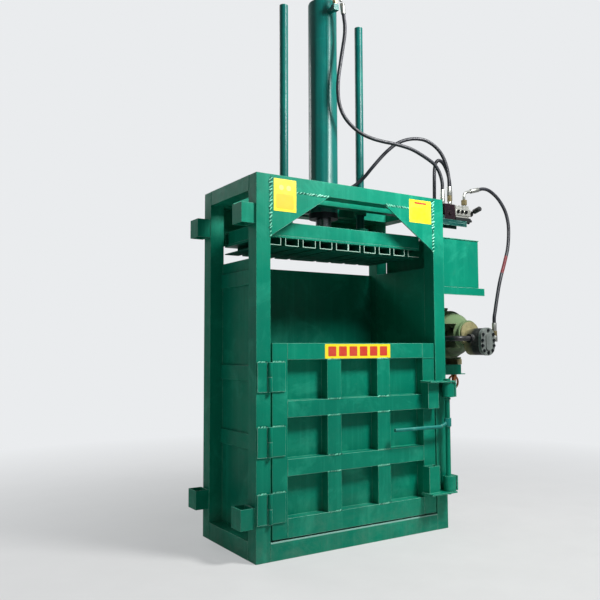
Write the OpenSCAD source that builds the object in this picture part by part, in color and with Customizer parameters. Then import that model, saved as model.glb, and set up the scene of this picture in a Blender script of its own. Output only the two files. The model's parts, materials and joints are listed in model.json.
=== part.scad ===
// Vertical hydraulic baling press: a welded tube frame round a pressing
// chamber, a ram on top with two guide rods, a front door with a cam lock,
// and an oil tank, motor, pump and valve on the right-hand side.
// Origin: on the floor under the middle of the frame. X to the right, Y to the back.

/* [Frame] */
// Width of the frame over its posts
frame_w = 1386; // [1200:2:1700]
// Depth of the frame over its posts
frame_d = 670; // [600:2:900]
// Height of the frame
frame_h = 2100; // [1900:10:2400]
// Side of the square posts
post = 90; // [70:2:110]
// Wall of the posts and beams
tube_t = 6; // [4:0.5:8]
// Height of the top beams
beam_h = 86; // [70:2:110]
// Height of the base beams
base_h = 100; // [80:2:130]
// Height of a front gusset down the post
gusset_h = 262; // [150:2:300]
// Length of a front gusset along the beam
gusset_w = 396; // [250:2:450]
// Thickness of the gusset plates
gusset_t = 10; // [6:1:14]
// Length of a square lifting socket, front to back
socket_d = 110; // [90:2:120]
// Width of a lifting socket
socket_w = 85; // [70:1:95]
// Height of a lifting socket
socket_h = 112; // [80:2:140]
// Wall of a lifting socket
socket_t = 8; // [5:1:10]

/* [Chamber] */
// Height of the chamber walls' top edge
wall_top = 1655; // [1500:5:1700]
// Thickness of the wall sheets
wall_t = 6; // [4:1:8]
// Height of a wall rib
rib_h = 92; // [60:2:110]
// Depth of a wall rib
rib_t = 12; // [8:1:12]
// Height of the lowest rib's middle
rib_low = 610; // [500:5:700]
// Spacing of the lower two ribs
rib_step = 385; // [300:5:400]
// Spacing of the upper two ribs
rib_step_top = 550; // [450:5:560]
// Thickness of the chamber floor
floor_t = 12; // [8:1:16]
// Width of a strap channel
channel_w = 91; // [80:1:95]
// Gap between strap channels for the baling strap
strap_gap = 28; // [20:1:34]
// Height of the strap channels
channel_h = 46; // [40:1:60]
// Wall of the strap channels
channel_t = 6; // [4:1:8]
// Number of strap channels on each side of the middle
channels_a_side = 4; // [3:1:4]

/* [Platen and ram] */
// Width of the platen
platen_w = 1144; // [1000:2:1170]
// Depth of the platen
platen_d = 532; // [480:2:540]
// Height of the platen's beams
platen_h = 80; // [70:2:100]
// Thickness of the platen's plate
platen_t = 12; // [8:1:16]
// Drop from the frame's top to the platen's underside with the ram drawn in
platen_drop = 378; // [360:1:400]
// Outer diameter of the ram's barrel
barrel_d = 186; // [170:2:200]
// Bore of the barrel
bore_d = 160; // [140:1:164]
// Height of the barrel's top above the frame
barrel_rise = 1288; // [1100:4:1400]
// Diameter of the piston rod
rod_d = 100; // [80:1:110]
// Stroke of the ram
stroke = 1000; // [800:10:1100]
// Diameter of the guide rods
guide_d = 54; // [44:1:66]
// Distance of a guide rod from the ram's axis
guide_x = 296; // [260:1:330]
// Height of the guide rods' tops above the frame with the ram drawn in
guide_rise = 1200; // [1100:10:1280]
// Radial running clearance of rods and pins
run_gap = 0.05; // [0.02:0.01:0.09]

/* [Door] */
// Height of the door's lower edge
door_z = 110; // [105:1:120]
// Height of the door
door_h = 1055; // [950:5:1100]
// Gap between the door and each post
door_gap = 10; // [6:1:14]
// Width of the door's stiles and ribs
stile_w = 97; // [80:1:105]
// Height of the door's rails
rail_h = 92; // [80:1:100]
// Height of the door's bottom rail
rail_low_h = 104; // [90:1:110]
// Depth of the stiles and rails
rail_t = 60; // [40:1:70]
// Outer diameter of a hinge barrel
hinge_d = 24; // [20:1:30]
// Diameter of a hinge pin
pin_d = 14; // [10:0.5:15]
// Height of a hinge
hinge_h = 160; // [120:2:180]

/* [Lock] */
// Diameter of the lock shaft
lock_d = 30; // [24:1:36]
// Distance of the lock shaft in front of the door
lock_y = 60; // [54:1:70]
// Reach of the lock handle
handle_l = 430; // [300:10:480]
// Diameter of the lock handle
handle_d = 22; // [16:1:26]
// Height of the lock handle
handle_z = 646; // [560:2:720]
// Swing radius of the lock cams
cam_r = 46; // [40:1:46]
// Height of a lock cam
cam_h = 92; // [60:2:96]

/* [Power unit] */
// Drop from the frame's top to the oil tank's floor
tank_drop = 564; // [540:2:600]
// Height of the oil tank
tank_h = 325; // [260:5:340]
// Width of the oil tank
tank_w = 340; // [280:2:360]
// Depth of the oil tank
tank_d = 560; // [400:10:600]
// Distance of the motor's shaft from the frame
motor_x = 234; // [225:1:250]
// Drop from the oil tank's floor to the motor's shaft
motor_drop = 311; // [296:1:326]
// Diameter of the motor's body
motor_d = 258; // [220:2:270]
// Length of the motor's body
motor_l = 330; // [260:5:340]
// Diameter of the motor's flange
flange_d = 326; // [300:2:330]
// Length of the bell housing
bell_l = 183; // [160:1:190]
// Diameter of the pump's flange
pump_flange_d = 172; // [150:2:180]
// Length of the pump's body
pump_l = 140; // [120:2:150]
// Diameter of the pressure hoses
hose_d = 24; // [20:1:26]
// Diameter of the rigid suction pipe
suction_d = 34; // [28:1:38]

/* [Hidden] */
$fn = 48;

green = "#0a8f73";
dark_green = "#00705a";
steel = "#b9bdbd";
black = "#1d2126";
khaki = "#8d9a77";

fx = frame_w / 2;
fy = frame_d / 2;
in_x = fx - post;
in_y = fy - post;
sides = [-1, 1];
cap_t = 6;
platen_z = frame_h - platen_drop;
barrel_top = frame_h + barrel_rise;
guide_top = frame_h + guide_rise;
tank_z = frame_h - tank_drop;
motor_z = tank_z - motor_drop;
// The ram's axis stands over the middle of the platen
ram_y = -in_y + 10 + platen_d / 2;
eps = 0.01;

// Plain hollow tube of rectangular section, along Z, X or Y from its own start
module tube_z(w, d, h, t) {
  difference() {
    translate([-w / 2, -d / 2, 0]) cube([w, d, h]);
    translate([-w / 2 + t, -d / 2 + t, -1]) cube([w - 2 * t, d - 2 * t, h + 2]);
  }
}
module tube_x(l, d, h, t) {
  difference() {
    translate([0, -d / 2, -h / 2]) cube([l, d, h]);
    translate([-1, -d / 2 + t, -h / 2 + t]) cube([l + 2, d - 2 * t, h - 2 * t]);
  }
}
module tube_y(l, w, h, t) {
  difference() {
    translate([-w / 2, 0, -h / 2]) cube([w, l, h]);
    translate([-w / 2 + t, -1, -h / 2 + t]) cube([w - 2 * t, l + 2, h - 2 * t]);
  }
}
// Plate with rounded corners lying in the XY plane
module round_plate(w, d, t, r) {
  linear_extrude(t) {
    translate([-w / 2 + r, -d / 2]) square([w - 2 * r, d]);
    translate([-w / 2, -d / 2 + r]) square([w, d - 2 * r]);
    for (sx = sides, sy = sides) translate([sx * (w / 2 - r), sy * (d / 2 - r)]) circle(r);
  }
}
// Hexagon-headed bolt standing on Z, with its washer
module bolt_head(d) {
  cylinder(h = d * 0.16, d = d * 2.1, $fn = 32);
  translate([0, 0, d * 0.16]) cylinder(h = d * 0.65, d = d * 1.75, $fn = 6);
}

// Frame: posts

module post_tube() {
  tube_z(post, post, frame_h - cap_t, tube_t);
  translate([-post / 2, -post / 2, frame_h - cap_t]) cube([post, post, cap_t]);
}
module post_pair(y) {
  color(green) for (s = sides) translate([s * (fx - post / 2), y, 0]) post_tube();
}
module posts_front() { post_pair(-fy + post / 2); }
module posts_rear() { post_pair(fy - post / 2); }

// Frame: beams

module ring_of_beams(h, z) {
  for (s = sides) {
    translate([-in_x, s * (fy - post / 2), z]) tube_x(2 * in_x, post, h, tube_t);
    translate([s * (fx - post / 2), -in_y, z]) tube_y(2 * in_y, post, h, tube_t);
  }
}
module top_beams() { color(green) ring_of_beams(beam_h, frame_h - beam_h / 2); }
bearer_w = 80;
bearer_x = 400;
module base_beams() {
  color(dark_green) {
    ring_of_beams(base_h, base_h / 2);
    for (x = [-bearer_x, bearer_x]) {
      translate([x, -in_y, base_h / 2]) tube_y(2 * in_y, bearer_w, base_h, tube_t);
    }
    // Solid bearer under the ram's axis
    translate([-bearer_w / 2, -in_y, 0]) cube([bearer_w, 2 * in_y, base_h]);
  }
}

// Frame: corner gussets under the top beams

beam_low = frame_h - beam_h;
module gusset(s, y) {
  translate([s * in_x, y, beam_low]) rotate([90, 0, 0])
    linear_extrude(gusset_t) polygon([[0, 0], [-s * gusset_w, 0], [0, -gusset_h]]);
}
module gussets() {
  color(green) for (s = sides, y = [-fy + gusset_t, fy]) gusset(s, y);
}

// Frame: square sockets on the left-hand posts, open at the top and bottom

socket_lift = [180, frame_h - socket_h - 171];
socket_y = [-fy + 12 + socket_d / 2, fy - 85 + socket_d / 2];
module lifting_sockets() {
  color(green) for (z = socket_lift, y = socket_y) {
    translate([-fx - socket_w / 2, y, z]) tube_z(socket_w, socket_d, socket_h, socket_t);
  }
}

// Chamber walls: sheets flush with the posts' inner faces, ribbed outside

wall_z = base_h;
module side_wall(s) {
  translate([s > 0 ? in_x : -in_x - wall_t, -in_y, wall_z])
    cube([wall_t, 2 * in_y, wall_top - wall_z]);
}
module side_walls() { color(green) for (s = sides) side_wall(s); }
rear_in = fy - rib_t - wall_t;
module wall_rear() {
  color(green) translate([-in_x, rear_in, wall_z]) cube([2 * in_x, wall_t, wall_top - wall_z]);
}
rib_mid = [rib_low, rib_low + rib_step, rib_low + rib_step + rib_step_top];
// A folded rib: a flat pan with its two long edges bevelled back to the sheet
module rib_profile() {
  bevel = rib_t * 0.4;
  polygon([[-rib_h / 2, 0], [rib_h / 2, 0], [rib_h / 2, rib_t - bevel],
    [rib_h / 2 - bevel, rib_t], [-rib_h / 2 + bevel, rib_t], [-rib_h / 2, rib_t - bevel]]);
}
module wall_ribs() {
  color(green) for (z = rib_mid) {
    for (s = sides) {
      translate([s * (in_x + wall_t), s * in_y, z]) rotate([90, 0, s * 90 - 90])
        rotate([0, 0, 90]) mirror([0, 1, 0]) linear_extrude(2 * in_y) rib_profile();
    }
    translate([-in_x, rear_in + wall_t, z]) rotate([90, 0, 90])
      rotate([0, 0, 90]) mirror([0, 1, 0]) linear_extrude(2 * in_x) rib_profile();
  }
}

// Chamber floor with its strap channels

door_face = -fy;
door_back = door_face + rail_t + wall_t;
floor_front = door_back + 4;
module chamber_floor() {
  color(dark_green) translate([-in_x + 1, floor_front, base_h])
    cube([2 * in_x - 2, rear_in - 1 - floor_front, floor_t]);
}
channel_pitch = channel_w + strap_gap;
// Left edge of the strap channel with this number, counted out from the middle
function channel_x(i) = i == 0 ? 0 : channel_w + strap_gap + (i - 1) * channel_pitch;
edge_leg = channel_x(channels_a_side);
module u_channel(l) {
  difference() {
    cube([channel_w, l, channel_h]);
    translate([channel_t, -1, channel_t]) cube([channel_w - 2 * channel_t, l + 2, channel_h]);
  }
}
// All channels of one face: open side up, with an angle at each outer edge
module strap_channels(l, half_w) {
  for (m = [0, 1]) mirror([m, 0, 0]) {
    for (i = [0:channels_a_side - 1]) {
      translate([channel_x(i) + (i == 0 ? eps * m : 0), 0, 0]) u_channel(l);
    }
    difference() {
      translate([edge_leg, 0, 0]) cube([half_w - edge_leg, l, channel_h]);
      translate([edge_leg + channel_t, -1, channel_t]) cube([half_w, l + 2, channel_h]);
    }
  }
}
floor_channel_y = floor_front + 40;
module floor_channels() {
  color(dark_green) translate([0, floor_channel_y, base_h + floor_t + channel_h])
    mirror([0, 0, 1]) strap_channels(rear_in - 12 - floor_channel_y, platen_w / 2);
}

// Crown: beams and plate that carry the ram, and sleeves for the guide rods

crown_gap = barrel_d / 2 + 8;
crown_w = 60;
module crown_beams() {
  color(dark_green) for (s = sides) {
    translate([-in_x, ram_y + s * (crown_gap + crown_w / 2), frame_h - beam_h / 2])
      tube_x(2 * in_x, crown_w, beam_h, tube_t);
  }
}
crown_t = 20;
crown_size = 2 * (crown_gap + crown_w);
flange_pcd = barrel_d + 60;
flange_bolts = 8;
flange_bolt = 16;
module crown_plate() {
  color(dark_green) translate([0, ram_y, 0]) difference() {
    translate([-crown_size / 2, -crown_size / 2, frame_h]) cube([crown_size, crown_size, crown_t]);
    translate([0, 0, frame_h - 1]) cylinder(h = crown_t + 2, d = barrel_d + 1, $fn = 96);
  }
}
sleeve_d = guide_d + 30;
sleeve_l = 130;
sleeve_plate_t = 12;
module guide_sleeves() {
  color(dark_green) for (s = sides) translate([s * guide_x, ram_y, 0]) difference() {
    union() {
      translate([-sleeve_d, -crown_size / 2, frame_h])
        cube([sleeve_d * 2, crown_size, sleeve_plate_t]);
      translate([0, 0, frame_h - sleeve_l / 2 - 20]) cylinder(h = sleeve_l, d = sleeve_d);
    }
    translate([0, 0, frame_h - sleeve_l]) cylinder(h = 2 * sleeve_l, d = guide_d + 2 * run_gap);
  }
}

// Ram barrel, closed at the top, with a flange, a front port boss at the top and a side
// port boss at the bottom

port_x = -8;

flange_t = 25;
barrel_low = frame_h - 105;
cap_h = 45;
port_d = 38;
port_top = barrel_top - 90;
port_low = frame_h + crown_t + flange_t + 21;
port_reach = barrel_d / 2 + 47 + ram_y;
port_face_y = ram_y - port_reach;
port_low_reach = barrel_d / 2 + 18;
module cylinder_barrel() {
  color(green) translate([0, ram_y, 0]) difference() {
    union() {
      translate([0, 0, barrel_low]) rotate_extrude($fn = 96) polygon([
        [0, 0], [barrel_d / 2, 0], [barrel_d / 2, barrel_top - barrel_low - 12],
        [barrel_d / 2 - 3, barrel_top - barrel_low - 4],
        [barrel_d / 2 - 12, barrel_top - barrel_low], [0, barrel_top - barrel_low]]);
      translate([0, 0, frame_h + crown_t]) cylinder(h = flange_t, d = barrel_d + 110, $fn = 96);
      translate([port_x, 0, port_top]) rotate([90, 0, 0])
        cylinder(h = port_reach, d = port_d, $fn = 32);
      translate([port_x - port_d / 2, -port_reach, port_top - port_d / 2])
        cube([port_d, 34, port_d]);
      translate([0, 0, port_low]) rotate([0, 90, 0])
        cylinder(h = port_low_reach, d = port_d, $fn = 32);
    }
    translate([0, 0, barrel_low - 1])
      cylinder(h = barrel_top - cap_h - barrel_low + 1, d = bore_d, $fn = 96);
  }
}
gland_spigot = 40;
gland_t = 35;
module cylinder_gland() {
  color(steel) translate([0, ram_y, barrel_low]) difference() {
    union() {
      translate([0, 0, -gland_t]) cylinder(h = gland_t, d = barrel_d, $fn = 96);
      cylinder(h = gland_spigot, d = bore_d - 0.2, $fn = 96);
    }
    translate([0, 0, -gland_t - 1])
      cylinder(h = gland_t + gland_spigot + 2, d = rod_d + 2 * run_gap, $fn = 96);
  }
}
module cylinder_bolts() {
  color(steel) translate([0, ram_y, 0]) for (i = [0:flange_bolts - 1]) rotate([0, 0, (i + 0.5) * 360 / flange_bolts])
    translate([flange_pcd / 2, 0, frame_h + crown_t + flange_t]) bolt_head(flange_bolt);
}

// Ram: piston rod with its piston and foot

platen_base = platen_z + channel_h;
beam_z = platen_base + platen_t;
platen_top = beam_z + platen_h;
foot_t = 25;
piston_h = 70;
piston_z = barrel_top - cap_h - 40 - piston_h;
module piston_rod() {
  color(steel) translate([0, ram_y, 0]) {
    translate([0, 0, platen_top]) cylinder(h = piston_z - platen_top, d = rod_d, $fn = 96);
    translate([0, 0, piston_z]) cylinder(h = piston_h, d = bore_d - 2 * run_gap, $fn = 96);
    translate([0, 0, platen_top]) cylinder(h = foot_t, d = foot_d, $fn = 96);
  }
}
boss_d = guide_d + 54;
boss_h = 62;
module guide_rods() {
  color(green) for (s = sides) {
    translate([s * guide_x, ram_y, platen_top]) cylinder(h = guide_top - platen_top, d = guide_d);
  }
}

// Platen: plate, frame of beams, bosses and strap channels

platen_y = ram_y - platen_d / 2;
module platen_plate() {
  color(green) translate([-platen_w / 2, platen_y, platen_base])
    cube([platen_w, platen_d, platen_t]);
}
platen_beam_w = 60;
web_t = 12;
pad_t = 12;
inner_d = platen_d - 2 * platen_beam_w;
inner_w = platen_w - 2 * platen_beam_w;
module platen_beams() {
  mid_z = beam_z + platen_h / 2;
  color(green) {
    for (y = [platen_y, platen_y + platen_d - platen_beam_w]) {
      translate([-platen_w / 2, y + platen_beam_w / 2, mid_z])
        tube_x(platen_w, platen_beam_w, platen_h, tube_t);
    }
    for (s = sides) {
      translate([s * (platen_w / 2 - platen_beam_w / 2), platen_y + platen_beam_w, mid_z])
        tube_y(inner_d, platen_beam_w, platen_h, tube_t);
    }
  }
}
foot_d = rod_d + 90;
// Upright webs with pads on top, on which the ram's foot and the guide rods stand
module platen_webs() {
  color(green) for (p = [[-guide_x, boss_d + 20], [0, foot_d + 20], [guide_x, boss_d + 20]]) {
    translate([p[0] - p[1] / 2, platen_y + platen_beam_w, platen_top - pad_t])
      cube([p[1], inner_d, pad_t]);
    for (s = sides) {
      translate([p[0] + s * p[1] * 0.36 - web_t / 2, platen_y + platen_beam_w, beam_z])
        cube([web_t, inner_d, platen_h - pad_t]);
    }
  }
}
module platen_channels() {
  color(green) translate([0, platen_y, platen_z]) strap_channels(platen_d, platen_w / 2);
}
module platen_bosses() {
  web_h = boss_h * 0.94;
  web_l = min(85, guide_x - boss_d / 2 - foot_d / 2 - 4);
  color(green) translate([0, ram_y, 0]) {
    for (s = sides) {
      translate([s * guide_x, 0, platen_top]) difference() {
        cylinder(h = boss_h, d = boss_d);
        translate([0, 0, -1]) cylinder(h = boss_h + 2, d = guide_d);
      }
      // Triangular web between the boss and the ram's foot
      translate([s * (guide_x - boss_d / 2 + 4), web_t / 2, platen_top]) rotate([90, 0, 0])
        linear_extrude(web_t)
        polygon([[0, 0], [-s * web_l, 0], [-s * web_l * 0.7, web_h * 0.66], [0, web_h]]);
    }
  }
}

// Door: skin behind a grid of hollow stiles, ribs and rails

door_w = 2 * (in_x - door_gap);
door_l = -door_w / 2;
member_y = door_face + rail_t / 2;
pocket_w = (door_w - 4 * stile_w) / 3;
pocket_h = (door_h - rail_low_h - 3 * rail_h) / 3;
module door_skin() {
  color(dark_green) translate([door_l, door_face + rail_t, door_z])
    cube([door_w, wall_t, door_h]);
}
module door_stiles() {
  color(green) {
    for (s = sides) {
      translate([s * (door_w / 2 - stile_w / 2), member_y, door_z])
        tube_z(stile_w, rail_t, door_h, tube_t);
    }
    for (i = [1, 2], k = [0:2]) {
      translate([door_l + i * (stile_w + pocket_w) + stile_w / 2, member_y,
        door_z + rail_low_h + k * (pocket_h + rail_h)]) tube_z(stile_w, rail_t, pocket_h, tube_t);
    }
  }
}
module door_rails() {
  rail_w = door_w - 2 * stile_w;
  color(green) {
    translate([-rail_w / 2, member_y, door_z + rail_low_h / 2])
      tube_x(rail_w, rail_t, rail_low_h, tube_t);
    for (k = [1:3]) {
      translate([-rail_w / 2, member_y,
        door_z + rail_low_h + k * pocket_h + (k - 1) * rail_h + rail_h / 2])
        tube_x(rail_w, rail_t, rail_h, tube_t);
    }
  }
}

// Hinges: leaf and lower barrel with its pin on the post, leaf and upper barrel on the door

hinge_x = -in_x - 10;
hinge_y = door_face - hinge_d / 2;
hinge_z = [200, 553, 901];
leaf_t = 8;
post_leaf_w = 60;
door_leaf_w = 86;
leaf_gap = 1;
half_h = hinge_h / 2 - leaf_gap / 2;
module leaf_and_barrel(s, tab_z, d_hole) {
  leaf_w = s > 0 ? door_leaf_w : post_leaf_w;
  difference() {
    union() {
      // The leaf stands off the barrel except at its own half
      translate([s > 0 ? hinge_d / 2 + 3 : -hinge_d / 2 - 3 - leaf_w, hinge_d / 2 - leaf_t, 0])
        cube([leaf_w, leaf_t, hinge_h]);
      translate([s > 0 ? 0 : -hinge_d / 2 - 4, hinge_d / 2 - leaf_t, tab_z])
        cube([hinge_d / 2 + 4, leaf_t, half_h]);
      translate([0, 0, tab_z]) cylinder(h = half_h, d = hinge_d);
    }
    if (d_hole > 0) translate([0, 0, tab_z - 1]) cylinder(h = half_h + 2, d = d_hole);
  }
}
module hinge_post_leaves() {
  color(green) for (z = hinge_z) translate([hinge_x, hinge_y, z]) {
    leaf_and_barrel(-1, 0, 0);
    cylinder(h = hinge_h - 6, d = pin_d);
  }
}
module door_hinge_leaves() {
  color(green) for (z = hinge_z) translate([hinge_x, hinge_y, z]) {
    leaf_and_barrel(1, hinge_h - half_h, pin_d + 2 * run_gap);
  }
}

// Cam lock: brackets on the door carry a shaft with two cams and a handle

lock_x = fx - post / 2 - 3;
lock_yc = door_face - lock_y;
lock_shelf_z = [236, 920];
shelf_t = 10;
block_h = 160;
block_x = door_w / 2 - stile_w - 11;
block_w = 88;
shelf_reach = 36;
module lock_bracket(z, up) {
  difference() {
    union() {
      translate([block_x - 12, lock_yc - 40, z])
        cube([lock_x + shelf_reach - block_x + 12, lock_y + 40, shelf_t]);
      translate([block_x + block_w / 2, door_face - lock_y / 2, up > 0 ? z + shelf_t : z - block_h])
        tube_z(block_w, lock_y, block_h, tube_t);
    }
    translate([lock_x, lock_yc, z - 1]) cylinder(h = shelf_t + 2, d = lock_d + 2 * run_gap);
  }
}
module lock_brackets() {
  color(green) {
    lock_bracket(lock_shelf_z[0], 1);
    lock_bracket(lock_shelf_z[1], -1);
  }
}
shelf_gap = 1;
cam_z = [lock_shelf_z[0] + shelf_t + shelf_gap, lock_shelf_z[1] - shelf_gap - cam_h];
// Cam outline: a hub with a square nose to the right
module cam_outline() {
  hull() {
    circle(r = cam_r * 0.74, $fn = 32);
    translate([cam_r * 0.45, -cam_r * 0.62]) square([cam_r * 0.3, cam_r * 1.24]);
  }
}
module lock_shaft() {
  top = lock_shelf_z[1] + shelf_t + 12;
  low = lock_shelf_z[0] - 10;
  color(green) translate([lock_x, lock_yc, 0]) {
    translate([0, 0, low]) cylinder(h = top - low, d = lock_d);
    for (z = cam_z) translate([0, 0, z]) linear_extrude(cam_h) cam_outline();
    translate([0, 0, cam_z[1] - 16]) cylinder(h = 12, d = lock_d + 10);
    translate([0, 0, lock_shelf_z[1] + shelf_t + shelf_gap]) cylinder(h = 10, d = lock_d + 14);
  }
}
module lock_handle() {
  r = handle_d / 2;
  rise = 24;
  run = 60;
  tip = lock_x - handle_l;
  start = lock_x - lock_d / 2 - 2;
  color(green) {
    translate([tip, lock_yc, handle_z]) rotate([0, 90, 0]) cylinder(h = handle_l - run, r = r);
    translate([lock_x - run, lock_yc, handle_z]) sphere(r = r * 1.12);
    translate([lock_x - run, lock_yc, handle_z]) rotate([0, atan2(run, rise), 0])
      cylinder(h = norm([run, rise]), r = r);
    translate([lock_x, lock_yc, handle_z + rise - 26])
      difference() {
        cylinder(h = 52, d = lock_d + 14);
        translate([0, 0, -1]) cylinder(h = 54, d = lock_d);
      }
  }
}
keeper_gap = 1.5;
module lock_keepers() {
  color(dark_green) for (z = cam_z) {
    translate([fx, lock_yc - 22, z]) cube([10, lock_y + 22 + 50, cam_h]);
  }
}

// Oil tank on its shelf, with lid and filler

tank_x = fx + 10;
tank_y = -fy + 30;
lid_t = 6;
module tank() {
  t = 4;
  color(green) translate([tank_x, tank_y, tank_z]) difference() {
    cube([tank_w, tank_d, tank_h - lid_t]);
    translate([t, t, t]) cube([tank_w - 2 * t, tank_d - 2 * t, tank_h]);
  }
}
module tank_lid() {
  rim = 10;
  color(green) translate([tank_x, tank_y - rim / 2, tank_z + tank_h - lid_t])
    cube([tank_w + rim / 2, tank_d + rim, lid_t]);
}
module filler_cap() {
  color(steel) translate([tank_x + tank_w * 0.6, tank_y + tank_d * 0.7, tank_z + tank_h]) {
    cylinder(h = 14, d = 62);
    translate([0, 0, 14]) cylinder(h = 22, d = 46);
    translate([0, 0, 36]) cylinder(h = 26, d = 64);
  }
}
shelf_over = 55;
module tank_shelf() {
  plate_t = 8;
  lip = 50;
  color(green) {
    translate([fx, tank_y, tank_z - plate_t]) cube([tank_w + shelf_over + 10, tank_d, plate_t]);
    translate([fx, tank_y, tank_z - plate_t - lip + plate_t])
      cube([tank_w + shelf_over + 10, plate_t, lip - plate_t]);
    translate([fx, tank_y + tank_d - plate_t, tank_z - lip])
      cube([tank_w + shelf_over + 10, plate_t, lip - plate_t]);
  }
}

// Motor on rails and a bracket, with the bell housing and gear pump in front

motor_cx = fx + motor_x;
bell_back = -fy + 200;
bell_front = bell_back - bell_l;
bracket_top = motor_z - 205;
bracket_h = 62;
rail_block_h = 36;
bracket_y = bell_back - 15;
bracket_l = 340;
bracket_w = motor_x + 93;
module motor_bracket() {
  color(green) {
    translate([fx, bracket_y, bracket_top - 8]) cube([bracket_w, bracket_l, 8]);
    for (y = [bracket_y, bracket_y + bracket_l - 8]) {
      translate([fx, y, bracket_top - bracket_h]) cube([bracket_w, 8, bracket_h - 8]);
    }
    translate([fx, bracket_y, bracket_top - bracket_h - 6]) cube([bracket_w + 40, 60, 6]);
  }
}
module motor_rails() {
  color(black) for (s = sides) {
    translate([motor_cx + s * 105 - 22, bell_back + 10, bracket_top]) cube([44, 290, rail_block_h]);
  }
}
fins = 18;
fin_h = 14;
module motor_body() {
  core = motor_d / 2 - fin_h;
  foot_z = bracket_top + rail_block_h;
  color(khaki) {
    translate([motor_cx, bell_back, motor_z]) rotate([-90, 0, 0]) {
      difference() {
        union() {
          cylinder(h = motor_l, r = core);
          cylinder(h = 16, d = flange_d, $fn = 96);
          translate([0, 0, motor_l - 24]) cylinder(h = 24, r = shield_r, $fn = 96);
          for (i = [0:fins - 1]) rotate([0, 0, i * 360 / fins])
            translate([core - 4, -2.5, 30]) cube([fin_h + 4, 5, motor_l - 60]);
        }
        translate([0, 0, -1]) cylinder(h = 12, d = 110);
        translate([0, 0, -1]) cylinder(h = motor_l + 2, d = 40 + 2 * run_gap);
      }
    }
    translate([motor_cx - 45, bell_back + 72, motor_z + core - 6]) cube([90, 96, fin_h + 6]);
    for (s = sides) {
      translate([motor_cx + s * 105 - 30, bell_back + 26, foot_z]) cube([60, 240, 14]);
      translate([motor_cx + s * 88 - 9, bell_back + 40, foot_z + 14])
        cube([18, 212, motor_z - foot_z - 14 - 60]);
    }
  }
}
cowl_l = 114;
cowl_lap = 18;
shield_r = motor_d / 2 - fin_h + 8;
module fan_cowl() {
  inner = shield_r + 0.3;
  color(khaki) translate([motor_cx, bell_back + motor_l - cowl_lap, motor_z]) rotate([-90, 0, 0]) {
    difference() {
      cylinder(h = cowl_l, r = inner + 2, $fn = 96);
      translate([0, 0, -1]) cylinder(h = cowl_l - 2, r = inner, $fn = 96);
      for (r = [34, 58, 82], i = [0:11]) rotate([0, 0, i * 30 + r])
        translate([r, 0, cowl_l - 10]) cylinder(h = 20, d = 13, $fn = 16);
    }
  }
}
module terminal_box() {
  color(khaki) translate([motor_cx, bell_back + 120, motor_z + motor_d / 2]) {
    translate([-50, -55, 0]) cube([100, 110, 46]);
    translate([0, 0, 46]) round_plate(112, 122, 12, 12);
  }
}
window_z = [24, -63];
window_w = [92, 52];
module bell_housing() {
  cone = 70;
  color(khaki) translate([motor_cx, bell_back, motor_z]) rotate([90, 0, 0]) difference() {
    rotate_extrude($fn = 96) polygon([
      [0, 0], [flange_d / 2, 0], [flange_d / 2, 16], [flange_d / 2 - 14, 24],
      [flange_d / 2 - 24, cone], [pump_flange_d / 2 + 4, bell_l - 44],
      [pump_flange_d / 2 - 6, bell_l - 22], [pump_flange_d / 2 + 6, bell_l - 18],
      [pump_flange_d / 2 + 6, bell_l], [0, bell_l]]);
    rotate_extrude($fn = 96) polygon([
      [0, -1], [flange_d / 2 - 33, -1], [flange_d / 2 - 36, cone - 6],
      [pump_flange_d / 2 - 12, bell_l - 44], [pump_flange_d / 2 - 18, bell_l - 14],
      [0, bell_l - 14]]);
    translate([0, 0, bell_l - 20]) cylinder(h = 30, d = 62);
    // Two windows a side with a rib between, through which the coupling shows
    for (i = [0, 1]) translate([-flange_d, window_z[i] - window_w[i] / 2, 34])
      cube([2 * flange_d, window_w[i], bell_l - 84]);
  }
}
pump_y = bell_front;
pump_drop = 50;
pump_w = 120;
pump_h = 176;
cover_l = 26;
module pump_outline(w, h) {
  hull() for (s = sides) translate([0, s * (h - w) / 2]) circle(d = w, $fn = 48);
}
pump_bore = 25;
module pump_body() {
  color(black) translate([motor_cx, pump_y, motor_z]) rotate([90, 0, 0]) difference() {
    union() {
      cylinder(h = 14, d = pump_flange_d - 6, $fn = 64);
      translate([0, -pump_drop, 14]) linear_extrude(pump_l - 14) pump_outline(pump_w, pump_h);
      // Port pads: pressure on the right, suction on the left
      for (s = sides) {
        translate([s * (pump_w / 2 - 8), pump_port_z - motor_z, pump_y - pump_port_y])
          rotate([0, s * 90, 0]) cylinder(h = 22, d = 56);
      }
    }
    translate([0, 0, -1]) cylinder(h = 61, d = pump_bore + 2 * run_gap);
  }
}
module pump_cover() {
  color(black) translate([motor_cx, pump_y - pump_l, motor_z - pump_drop]) rotate([90, 0, 0]) {
    linear_extrude(cover_l) pump_outline(pump_w + 4, pump_h + 4);
    translate([0, 0, cover_l]) linear_extrude(7) pump_outline(44, 112);
  }
}
module pump_bolts() {
  place = [[46, 46], [52, 8], [52, -26], [38, -58], [0, 72], [0, -72]];
  color(steel) translate([motor_cx, pump_y - pump_l - cover_l, motor_z - pump_drop])
    rotate([90, 0, 0]) for (p = place, m = p[0] > 0 ? [-1, 1] : [1])
      translate([p[0] * m, p[1], 0]) bolt_head(10);
}

// Motor shaft with the coupling and the fan

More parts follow.
